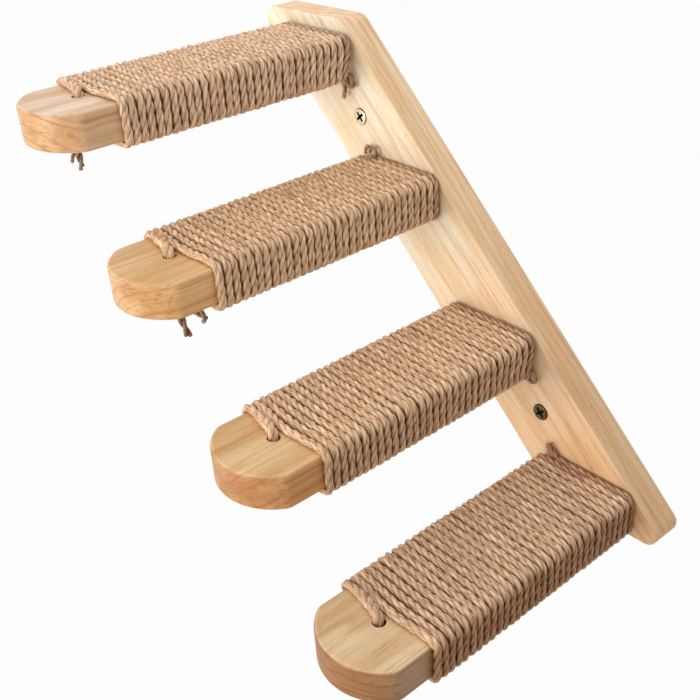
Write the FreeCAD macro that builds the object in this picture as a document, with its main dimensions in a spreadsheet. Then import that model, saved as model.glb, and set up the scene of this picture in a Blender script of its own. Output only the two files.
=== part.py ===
import FreeCAD, Part
import math
import os

import Sketcher

# Cat wall stairs: a slanted wooden board, screwed to the wall through its face, carries four level
# wooden treads. Each tread is screwed on from behind and wound with jute rope, whose free end goes
# down a hole in the bare nose and is knotted underneath.
# Frame: +Z up, the board's back face in the plane y = 0, treads towards -Y, and the origin midway
# between the two wall screws.

# Driving dimensions, in millimetres and degrees.
SIZES = {
    "board_thickness": 24.0,
    "board_width": 70.0,            # square across the slanted board
    "board_slant": 45.0,            # from upright
    "board_top_margin": 24.8,       # from the middle of tread 1 up to the board's level end
    "board_foot_margin": 19.4,      # from the middle of tread 4 down to the board's level end
    "board_sharp_radius": 9.0,      # of the two corners where the board comes to a point
    "board_blunt_radius": 14.0,
    "board_edge_radius": 1.2,
    "rise_upper": 83.0,             # from tread 2 up to tread 1
    "rise_middle": 90.0,
    "rise_lower": 87.0,
    "tread_length": 231.0,          # from the board's face to the tip of the nose
    "tread_width": 70.0,
    "tread_thickness": 24.0,
    "tread_edge_radius": 2.0,
    "nose_depth": 20.5,             # how far the arc of the nose stands out past its shoulders
    "nose_bend_radius": 10.0,
    "rope_diameter": 4.8,
    "rope_clearance": 0.15,         # between the rope and the wood
    "rope_start_gap": 0.4,          # between the first turn and the board
    "rope_turn_gap": 2.7,           # least gap between two turns
    "rope_stub_inset": 7.0,         # from the tread's left side to the end that stands up
    "rope_stub_length": 5.3,        # straight length of the end that stands up or out
    "bare_nose_length": 41.5,       # from the last turn to the tip of the nose
    "rope_hole_offset": 4.0,        # from the last turn to the middle of the hole
    "rope_hole_play": 1.9,          # round the rope in its hole
    "knot_overhang": 1.3,           # of the knot past the rim of the hole
    "knot_height": 10.0,
    "knot_flat": 0.6,               # cut off the top of the knot, where the rope comes out of it
    "knot_seat_gap": 0.1,
    "tail_diameter": 3.4,
    "wall_screw_diameter": 6.0,
    "wall_screw_neck_diameter": 4.4,
    "wall_screw_head_diameter": 12.0,
    "wall_screw_length": 45.0,
    "wall_screw_tip": 6.0,
    "wall_screw_cross_rim": 2.8,    # of the head round the ends of its cross recess
    "wall_screw_slot": 1.6,
    "wall_screw_slot_depth": 2.4,
    "tread_screw_diameter": 4.5,
    "tread_screw_neck_diameter": 3.4,
    "tread_screw_head_diameter": 9.0,
    "tread_screw_length": 60.0,
    "tread_screw_tip": 5.0,
    "tread_screw_cross_rim": 2.1,
    "tread_screw_slot": 1.2,
    "tread_screw_slot_depth": 1.8,
    "tread_screw_spacing": 36.0,
    "screw_clearance": 0.2,         # round each shank and head
    "screw_recess": 0.3,            # of each head below the wood
    "pilot_extra": 2.0,             # of a pilot hole past the screw's point
}

# Tips of the two rope tails under each nose, from the middle of the hole at the tread's underside:
# across the tread, outwards and up.
TAIL_TIPS = {
    1: ((-23.0, 3.0, -25.5), (-17.5, -1.0, -28.5)),
    2: ((9.5, 1.0, -28.0), (23.5, -4.0, -13.0)),
    3: ((-12.0, -3.0, -28.0), (-20.0, 4.0, -17.0)),
    4: ((-9.0, -6.0, -27.0), (-19.0, 2.0, -20.0)),
}

# The rope starts with its end standing up on top of these treads, and at the lower right on the others.
START_ON_TOP = (2, 4)

CUT_PAST = 2.0                      # how far a cutter runs past the face that it breaks through
GAP_SAMPLE = 1.5                    # step of the points on which the rope's gap to itself is measured

doc = FreeCAD.newDocument("cat_wall_stairs")
sheet = doc.addObject("Spreadsheet::Sheet", "sizes")
for row, (alias, value) in enumerate(SIZES.items(), start=1):
    sheet.set(f"A{row}", alias)
    sheet.set(f"B{row}", str(value))
    sheet.setAlias(f"B{row}", alias)
doc.recompute()

# Heights above the origin: each wall screw sits midway between two treads.
WALL_SCREW_HEIGHT = "(sizes.rise_upper / 2 + sizes.rise_middle + sizes.rise_lower / 2) / 2"
TREAD_HEIGHTS = {
    1: f"{WALL_SCREW_HEIGHT} + sizes.rise_upper / 2",
    2: f"{WALL_SCREW_HEIGHT} - sizes.rise_upper / 2",
    3: f"-({WALL_SCREW_HEIGHT}) + sizes.rise_lower / 2",
    4: f"-({WALL_SCREW_HEIGHT}) - sizes.rise_lower / 2",
}

ROPE_HOLE_RADIUS = "(sizes.rope_diameter / 2 + sizes.rope_hole_play)"
KNOT_RADIUS = f"({ROPE_HOLE_RADIUS} + sizes.knot_overhang)"
WRAP_LENGTH = "(sizes.tread_length - sizes.bare_nose_length)"
ROPE_HOLE_DISTANCE = f"({WRAP_LENGTH} + sizes.rope_hole_offset)"

nodes = {}


def number(expression):
    """The value of an expression on the sheet's sizes."""
    return float(sheet.evalExpression(expression))


def slant_x(height):
    """Expression for the middle of the board across, at a height."""
    return f"-({height}) * tan(sizes.board_slant)"


def place(item, x, y, z):
    """Bind the place of an object to three expressions."""
    for axis, expression in zip("xyz", (x, y, z)):
        item.setExpression(f"Placement.Base.{axis}", expression)


def new_body(label):
    body = doc.addObject("PartDesign::Body", label)
    body.Label = label
    return body


def new_sketch(body, role):
    """A sketch on one of the body's own origin planes."""
    sketch = body.newObject("Sketcher::SketchObject", f"{body.Name}_sketch")
    plane = next(item for item in body.Origin.OriginFeatures if item.Role == role)
    sketch.AttachmentSupport = [(plane, "")]
    sketch.MapMode = "FlatFace"
    return sketch


def pin_point(sketch, geometry, point, x, y):
    """Hold a point of the sketch at two expressions; "0" lays it on the axis."""
    for kind, axis, expression in (("DistanceX", -2, x), ("DistanceY", -1, y)):
        if expression == "0":
            sketch.addConstraint(Sketcher.Constraint("PointOnObject", geometry, point, axis))
        else:
            datum = Sketcher.Constraint(kind, -1, 1, geometry, point, number(expression))
            index = sketch.addConstraint(datum)
            sketch.setExpression(f"Constraints[{index}]", expression)


def polygon_sketch(body, role, corners):
    """A closed outline of straight lines through corners given as pairs of expressions."""
    sketch = new_sketch(body, role)
    points = [FreeCAD.Vector(number(x), number(y), 0) for x, y in corners]
    count = len(points)
    for index, point in enumerate(points):
        sketch.addGeometry(Part.LineSegment(point, points[(index + 1) % count]))
    for index in range(count):
        sketch.addConstraint(Sketcher.Constraint("Coincident", index, 2, (index + 1) % count, 1))
    for index, (x, y) in enumerate(corners):
        pin_point(sketch, index, 1, x, y)
    return sketch


def pad(body, sketch, length, side):
    feature = body.newObject("PartDesign::Pad", f"{body.Name}_pad")
    feature.Profile = sketch
    feature.SideType = side
    feature.setExpression("Length", length)
    doc.recompute()
    return feature


def fillet_where(body, feature, radius, wanted):
    """Round the edges of a feature whose shape passes a test."""
    names = [f"Edge{n}" for n, edge in enumerate(feature.Shape.Edges, start=1) if wanted(edge)]
    rounding = body.newObject("PartDesign::Fillet", f"{body.Name}_fillet")
    rounding.Base = (feature, names)
    rounding.setExpression("Radius", radius)
    doc.recompute()
    return rounding


def runs_along(edge, axis):
    """Whether an edge is straight and parallel to an axis."""
    first, last = edge.firstVertex().Point, edge.lastVertex().Point
    return edge.Curve.TypeId == "Part::GeomLine" and abs((last - first).normalize() * axis) > 0.999


def cylinder(name, radius, height, x, y, z, rotation):
    tool = doc.addObject("Part::Cylinder", name)
    tool.Placement.Rotation = rotation
    tool.setExpression("Radius", radius)
    tool.setExpression("Height", height)
    place(tool, x, y, z)
    return tool


def fused(name, shapes):
    joined = doc.addObject("Part::MultiFuse", name)
    joined.Shapes = shapes
    return joined


def cut(label, base, tool):
    result = doc.addObject("Part::Cut", label)
    result.Label = label
    result.Base = base
    result.Tool = tool
    return result


X_AXIS = FreeCAD.Vector(1, 0, 0)
Y_AXIS = FreeCAD.Vector(0, 1, 0)
Z_AXIS = FreeCAD.Vector(0, 0, 1)
INTO_WALL = FreeCAD.Rotation(X_AXIS, -90)       # turns a tool's own +Z to +Y
OUT_OF_WALL = FreeCAD.Rotation(X_AXIS, 90)      # turns a tool's own +Z to -Y


def screw_hole(name, kind, x, y, z, rotation):
    """Cutter for a countersunk screw through the board, from the face where its head lies."""
    shank = f"sizes.{kind}_diameter / 2 + sizes.screw_clearance"
    mouth = f"sizes.{kind}_head_diameter / 2 + sizes.screw_clearance + sizes.screw_recess"
    through = f"sizes.board_thickness + {CUT_PAST}"
    bore = cylinder(f"{name}_bore", shank, through, x, y, z, rotation)
    sink = doc.addObject("Part::Cone", f"{name}_sink")
    sink.Placement.Rotation = rotation
    sink.setExpression("Radius1", mouth)
    sink.setExpression("Radius2", shank)
    sink.setExpression("Height", f"({mouth}) - ({shank})")
    place(sink, x, y, z)
    return fused(name, [bore, sink])


# Name and height of each wall screw.
WALL_SCREWS = (
    ("wall_screw_upper", WALL_SCREW_HEIGHT),
    ("wall_screw_lower", f"-({WALL_SCREW_HEIGHT})"),
)


def tread_screws(number_of_tread):
    """Name and place across of the two screws that hold a tread."""
    middle = slant_x(TREAD_HEIGHTS[number_of_tread])
    return (
        (f"tread_{number_of_tread}_screw_left", f"{middle} - sizes.tread_screw_spacing / 2"),
        (f"tread_{number_of_tread}_screw_right", f"{middle} + sizes.tread_screw_spacing / 2"),
    )


def make_board():
    """Slanted board with level ends, rounded corners, and countersunk holes from both faces."""
    body = new_body("board_blank")
    half = "sizes.board_width / cos(sizes.board_slant) / 2"
    top = f"{TREAD_HEIGHTS[1]} + sizes.board_top_margin"
    bottom = f"{TREAD_HEIGHTS[4]} - sizes.board_foot_margin"
    corners = (
        (f"{slant_x(top)} - {half}", top),
        (f"{slant_x(bottom)} - {half}", bottom),
        (f"{slant_x(bottom)} + {half}", bottom),
        (f"{slant_x(top)} + {half}", top),
    )
    slab = pad(body, polygon_sketch(body, "XZ_Plane", corners), "sizes.board_thickness", "One side")
    sharp = [number(x) for x, _ in corners[::2]]
    blunt = [number(x) for x, _ in corners[1::2]]

    def corner_edge(edge, places):
        x = edge.CenterOfMass.x
        return runs_along(edge, Y_AXIS) and any(abs(x - place_x) < 1e-6 for place_x in places)

    pointed = fillet_where(body, slab, "sizes.board_sharp_radius", lambda edge: corner_edge(edge, sharp))
    rounded = fillet_where(body, pointed, "sizes.board_blunt_radius", lambda edge: corner_edge(edge, blunt))
    fillet_where(body, rounded, "sizes.board_edge_radius", lambda edge: edge.BoundBox.YLength < 1e-6)
    holes = []
    for name, height in WALL_SCREWS:
        face = "-sizes.board_thickness"
        holes.append(screw_hole(f"{name}_hole", "wall_screw", slant_x(height), face, height, INTO_WALL))
    for tread in TREAD_HEIGHTS:
        for name, across in tread_screws(tread):
            height = TREAD_HEIGHTS[tread]
            holes.append(screw_hole(f"{name}_hole", "tread_screw", across, "0", height, OUT_OF_WALL))
    nodes["wall_board"] = cut("wall_board", body, fused("board_holes", holes))


def make_tread(tread):
    """Level tread with an arched nose, a rope hole and two pilot holes in its end grain."""
    body = new_body(f"tread_{tread}_blank")
    height = TREAD_HEIGHTS[tread]
    half_width = "sizes.tread_width / 2"
    shoulder = "-(sizes.tread_length - sizes.nose_depth)"
    arc_radius = "(sizes.nose_depth ^ 2 + (sizes.tread_width / 2) ^ 2) / (2 * sizes.nose_depth)"
    sketch = new_sketch(body, "XY_Plane")
    side, front = number(half_width), number(shoulder)
    back_left, back_right = FreeCAD.Vector(-side, 0, 0), FreeCAD.Vector(side, 0, 0)
    front_left, front_right = FreeCAD.Vector(-side, front, 0), FreeCAD.Vector(side, front, 0)
    tip = FreeCAD.Vector(0, -number("sizes.tread_length"), 0)
    sketch.addGeometry(Part.LineSegment(back_left, front_left))
    sketch.addGeometry(Part.Arc(front_left, tip, front_right))
    sketch.addGeometry(Part.LineSegment(front_right, back_right))
    sketch.addGeometry(Part.LineSegment(back_right, back_left))
    for index in range(4):
        sketch.addConstraint(Sketcher.Constraint("Coincident", index, 2, (index + 1) % 4, 1))
    pin_point(sketch, 0, 1, f"-{half_width}", "0")
    pin_point(sketch, 2, 2, half_width, "0")
    pin_point(sketch, 0, 2, f"-{half_width}", shoulder)
    pin_point(sketch, 2, 1, half_width, shoulder)
    radius_index = sketch.addConstraint(Sketcher.Constraint("Radius", 1, number(arc_radius)))
    sketch.setExpression(f"Constraints[{radius_index}]", arc_radius)
    plank = pad(body, sketch, "sizes.tread_thickness", "Symmetric")
    bent = fillet_where(body, plank, "sizes.nose_bend_radius",
                        lambda edge: runs_along(edge, Z_AXIS) and edge.CenterOfMass.y < front / 2)
    fillet_where(body, bent, "sizes.tread_edge_radius",
                 lambda edge: edge.BoundBox.ZLength < 1e-6 and edge.CenterOfMass.y < -1e-6)
    place(body, slant_x(height), "-sizes.board_thickness", height)
    depth = "sizes.tread_screw_length + sizes.screw_recess - sizes.board_thickness + sizes.pilot_extra"
    pilot = "sizes.tread_screw_diameter / 2 + sizes.screw_clearance"
    tools = []
    for name, across in tread_screws(tread):
        tools.append(cylinder(f"{name}_pilot", pilot, f"{depth} + {CUT_PAST}", across,
                              f"-sizes.board_thickness + {CUT_PAST}", height, OUT_OF_WALL))
    tools.append(cylinder(f"tread_{tread}_rope_hole", ROPE_HOLE_RADIUS,
                          f"sizes.tread_thickness + 2 * {CUT_PAST}", slant_x(height),
                          f"-sizes.board_thickness - {ROPE_HOLE_DISTANCE}",
                          f"{height} - sizes.tread_thickness / 2 - {CUT_PAST}", FreeCAD.Rotation()))
    nodes[f"tread_{tread}"] = cut(f"tread_{tread}", body, fused(f"tread_{tread}_holes", tools))


def make_screw(label, kind, x, y, z, rotation):
    """Countersunk wood screw with a cross recess: head at the origin, point along its own +Z.

    A plain neck runs through the board, and the thicker threaded stretch starts behind it.
    """
    body = new_body(label)
    head = f"sizes.{kind}_head_diameter / 2"
    neck = f"sizes.{kind}_neck_diameter / 2"
    thread = f"sizes.{kind}_diameter / 2"
    neck_end = "sizes.board_thickness - sizes.screw_recess"
    length = f"sizes.{kind}_length"
    profile = (
        ("0", "0"),
        (head, "0"),
        (neck, f"{head} - {neck}"),
        (neck, neck_end),
        (thread, neck_end),
        (thread, f"{length} - sizes.{kind}_tip"),
        ("0", length),
    )
    turned = body.newObject("PartDesign::Revolution", f"{label}_turned")
    turned.Profile = polygon_sketch(body, "XZ_Plane", profile)
    turned.ReferenceAxis = (turned.Profile[0], ["V_Axis"])
    turned.Angle = 360
    doc.recompute()
    arm, side = f"({head} - sizes.{kind}_cross_rim)", f"sizes.{kind}_slot / 2"
    quarter = ((arm, side), (side, side), (side, arm))
    cross = []
    for turn_x, turn_y, swap in ((1, 1, False), (-1, 1, True), (-1, -1, False), (1, -1, True)):
        for first, second in quarter[::-1] if swap else quarter:
            cross.append((first if turn_x > 0 else f"-{first}", second if turn_y > 0 else f"-{second}"))
    recess = body.newObject("PartDesign::Pocket", f"{label}_recess")
    recess.Profile = polygon_sketch(body, "XY_Plane", cross)
    recess.Reversed = True
    recess.setExpression("Length", f"sizes.{kind}_slot_depth")
    doc.recompute()
    if recess.Shape.Volume >= turned.Shape.Volume:
        raise RuntimeError(f"{label}: the recess cut nothing")
    body.Placement.Rotation = rotation
    place(body, x, y, z)
    nodes[label] = body


def rounded_wire(corners, radius):
    """Straight runs through the corners, joined by tangent arcs of one radius."""
    edges = []
    start = corners[0]
    for before, corner, after in zip(corners, corners[1:], corners[2:]):
        arriving = (corner - before).normalize()
        leaving = (after - corner).normalize()
        half_turn = arriving.getAngle(leaving) / 2
        reach = radius * math.tan(half_turn)
        bend_start, bend_end = corner - arriving * reach, corner + leaving * reach
        inward = (leaving - arriving).normalize()
        bend_middle = corner + inward * (radius / math.cos(half_turn) - radius)
        edges.append(Part.LineSegment(start, bend_start).toShape())
        edges.append(Part.Arc(bend_start, bend_middle, bend_end).toShape())
        start = bend_end
    edges.append(Part.LineSegment(start, corners[-1]).toShape())
    return Part.Wire(edges)


def knot_seat():
    """How far the middle of a knot lies below the tread, resting on the rim of the rope hole."""
    share = number(ROPE_HOLE_RADIUS) / number(KNOT_RADIUS)
    return number("sizes.knot_height / 2") * math.sqrt(1 - share ** 2) + number("sizes.knot_seat_gap")


def rope_bend():
    """Radius of the rope's middle line round an edge of a tread."""
    return number("sizes.tread_edge_radius + sizes.rope_clearance + sizes.rope_diameter / 2")


def winding_corners(start_on_top):
    """Corners of the rope's middle line round a tread, from its start to its knot.

    The top runs lead from left to right and the bottom runs back, each half a pitch further out.
    """
    radius = number("sizes.rope_diameter / 2")
    stand_off = radius + number("sizes.rope_clearance")
    side = number("sizes.tread_width / 2") + stand_off
    level = number("sizes.tread_thickness / 2") + stand_off
    first = number("sizes.rope_start_gap") + radius
    last = number(WRAP_LENGTH) - radius
    turns = math.floor((last - first) / number("sizes.rope_diameter + sizes.rope_turn_gap"))
    pitch = (last - first) / (turns if start_on_top else turns - 0.5)
    begin = last - turns * pitch
    lean = pitch / 2 / (2 * side)

    def at(across, outward, up):
        return FreeCAD.Vector(across, -outward, up)

    straight = number("sizes.rope_stub_length")
    if start_on_top:
        stub = number("sizes.rope_stub_inset - sizes.tread_width / 2")
        stub_out = begin + lean * (stub + side)
        corners = [at(stub, stub_out, level + rope_bend() + straight), at(stub, stub_out, level)]
    else:
        corners = [at(side + straight, begin + pitch / 2 - lean * straight, -level)]
    for turn in range(turns):
        out = begin + pitch * turn
        if start_on_top or turn > 0:
            corners += [at(side, out + pitch / 2, level), at(side, out + pitch / 2, -level)]
        corners += [at(-side, out + pitch, -level), at(-side, out + pitch, level)]
    hole = number(ROPE_HOLE_DISTANCE)
    knot_top = number("sizes.knot_height / 2 - sizes.knot_flat") - knot_seat()
    return corners + [at(0, hole, level), at(0, hole, knot_top - number("sizes.tread_thickness / 2"))]


def least_gap(wire, diameter):
    """Least gap of a tube to itself, on points along its middle line."""
    points = wire.discretize(Distance=GAP_SAMPLE)
    apart = math.ceil(math.pi * diameter / GAP_SAMPLE)
    cell = 4 * diameter
    slices = {}
    for index, point in enumerate(points):
        slices.setdefault(math.floor(point.y / cell), []).append(index)
    least = math.inf
    for key, members in slices.items():
        near = members + slices.get(key + 1, [])
        for index in members:
            for other in near:
                if abs(other - index) > apart:
                    least = min(least, points[index].distanceToPoint(points[other]))
    return least - diameter


def tread_placement(tread):
    height = number(TREAD_HEIGHTS[tread])
    return FreeCAD.Placement(
        FreeCAD.Vector(number(slant_x(TREAD_HEIGHTS[tread])), -number("sizes.board_thickness"), height),
        FreeCAD.Rotation())


def make_winding(tread):
    """The rope round a tread, one unbroken tube down to its knot."""
    label = f"rope_winding_{tread}"
    diameter = number("sizes.rope_diameter")
    bend = rope_bend()
    corners = winding_corners(tread in START_ON_TOP)
    route = rounded_wire(corners, bend)
    section = Part.Wire([Part.Circle(corners[0], corners[1] - corners[0], diameter / 2).toShape()])
    tube = route.makePipeShell([section], True, False)
    expected = math.pi * diameter ** 2 / 4 * route.Length
    if abs(tube.Volume / expected - 1) > 1e-3:
        raise RuntimeError(f"{label}: volume {tube.Volume:.1f} is not {expected:.1f}")
    gap = least_gap(route, diameter)
    print(f"{label}: rope {route.Length:.0f} mm, bends {bend:.2f} mm, least gap to itself {gap:.2f} mm")
    winding = doc.addObject("Part::Feature", label)
    winding.Label = label
    winding.Shape = tube
    winding.Placement = tread_placement(tread)
    nodes[label] = winding


def make_knot(tread):
    """The stopper knot under a nose, with the rope's two cut tails."""
    label = f"rope_knot_{tread}"
    width, tall = 2 * number(KNOT_RADIUS), number("sizes.knot_height")
    underside = FreeCAD.Vector(0, -number(ROPE_HOLE_DISTANCE), -number("sizes.tread_thickness / 2"))
    middle = underside - Z_AXIS * knot_seat()
    flatten = FreeCAD.Matrix()
    flatten.scale(1, 1, tall / width)
    ball = Part.makeSphere(width / 2).transformGeometry(flatten)
    ball.translate(middle)
    cap_height = tall / 2 - number("sizes.knot_flat")
    cap = Part.makeBox(width, width, tall, middle + FreeCAD.Vector(-width / 2, -width / 2, cap_height))
    shape = ball.cut(cap)
    for across, outward, up in TAIL_TIPS[tread]:
        run = underside + FreeCAD.Vector(across, -outward, up) - middle
        shape = shape.fuse(Part.makeCylinder(number("sizes.tail_diameter / 2"), run.Length, middle, run))
    knot = doc.addObject("Part::Feature", label)
    knot.Label = label
    knot.Shape = shape.Solids[0]
    knot.Placement = tread_placement(tread)
    nodes[label] = knot


make_board()
for screw, screw_height in WALL_SCREWS:
    make_screw(screw, "wall_screw", slant_x(screw_height), "-sizes.board_thickness + sizes.screw_recess",
               screw_height, INTO_WALL)
for tread_number, tread_height in TREAD_HEIGHTS.items():
    make_tread(tread_number)
    make_winding(tread_number)
    make_knot(tread_number)
    for screw, screw_across in tread_screws(tread_number):
        make_screw(screw, "tread_screw", screw_across, "-sizes.screw_recess", tread_height, OUT_OF_WALL)
doc.recompute()

for item in doc.Objects:
    if "Invalid" in item.State or "Error" in item.State:
        raise RuntimeError(f"{item.Label}: {item.State}")
for label, item in nodes.items():
    if item.Shape.isNull() or not item.Shape.isValid() or len(item.Shape.Solids) != 1:
        raise RuntimeError(f"{label}: the shape is not one valid solid")

os.makedirs("parts", exist_ok=True)
for label, item in nodes.items():
    item.Shape.exportStep(f"parts/{label}.step")
print(f"{len(nodes)} parts written")
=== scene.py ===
import math

import bpy
import numpy as np
from mathutils import Matrix, Vector


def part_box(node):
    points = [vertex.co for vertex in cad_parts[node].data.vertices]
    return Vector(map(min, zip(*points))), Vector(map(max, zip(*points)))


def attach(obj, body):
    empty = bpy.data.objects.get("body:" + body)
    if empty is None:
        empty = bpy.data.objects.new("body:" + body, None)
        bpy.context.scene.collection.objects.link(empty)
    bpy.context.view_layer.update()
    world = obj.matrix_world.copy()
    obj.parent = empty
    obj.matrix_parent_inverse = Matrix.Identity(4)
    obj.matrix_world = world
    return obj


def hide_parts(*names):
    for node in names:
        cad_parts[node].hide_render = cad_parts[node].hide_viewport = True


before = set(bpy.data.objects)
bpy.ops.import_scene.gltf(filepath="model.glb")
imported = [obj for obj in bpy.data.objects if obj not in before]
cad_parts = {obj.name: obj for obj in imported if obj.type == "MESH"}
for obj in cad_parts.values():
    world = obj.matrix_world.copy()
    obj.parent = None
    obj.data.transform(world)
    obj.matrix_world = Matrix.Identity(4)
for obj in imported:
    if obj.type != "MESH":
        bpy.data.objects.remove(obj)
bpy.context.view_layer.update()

# The wall board
# A plank of rubberwood, sawn to a slant with level ends, its corners cut round and its arrises eased,
# sanded and sealed with a thin clear lacquer. It lies flat on the wall and carries the four treads.
MM = 0.001
BOARD_SLANT = math.radians(45)          # from upright, down to the right
BOARD_PITH = (-60.0, 40.0)              # across and up, in millimetres
BOARD_TONES = ("#fef4da", "#f6dfb6", "#e6bc88", "#e2b482")
BOARD_TINTS_AND_SHADE = ("#f0dcc4", "#f2dcca", "#e9c5a3", "#dacec0")     # end grain and edge tints, then painted shade that darkens it towards its low end, where the light falls off


def linear(hex_colour):
    """An sRGB hex colour as linear RGBA."""
    values = [int(hex_colour[i:i + 2], 16) / 255 for i in (1, 3, 5)]
    return [v / 12.92 if v <= 0.04045 else ((v + 0.055) / 1.055) ** 2.4 for v in values] + [1.0]


def add(tree, kind, inputs=(), **settings):
    """Add a node with its settings; an input is a value or another node's output socket."""
    made = tree.nodes.new(kind)
    for name, value in settings.items():
        setattr(made, name, value)
    for key, value in dict(inputs).items():
        if isinstance(value, bpy.types.NodeSocket):
            tree.links.new(value, made.inputs[key])
        else:
            made.inputs[key].default_value = value
    return made


def new_material(name):
    """A material with no nodes yet, and its node tree."""
    material = bpy.data.materials.new(name)
    material.use_nodes = True
    material.node_tree.nodes.clear()
    return material, material.node_tree


def stretched_noise(tree, place, size, detail, roughness, shift=(0.0, 0.0, 0.0)):
    """Noise in spots of the given size along each axis of its place."""
    scaled = add(tree, "ShaderNodeVectorMath", {0: place, 1: [1 / s for s in size]}, operation="MULTIPLY")
    moved = add(tree, "ShaderNodeVectorMath", {0: scaled.outputs[0], 1: shift})
    return add(tree, "ShaderNodeTexNoise", {"Vector": moved.outputs[0], "Scale": 1.0, "Detail": detail,
                                            "Roughness": roughness}).outputs[0]


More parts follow.
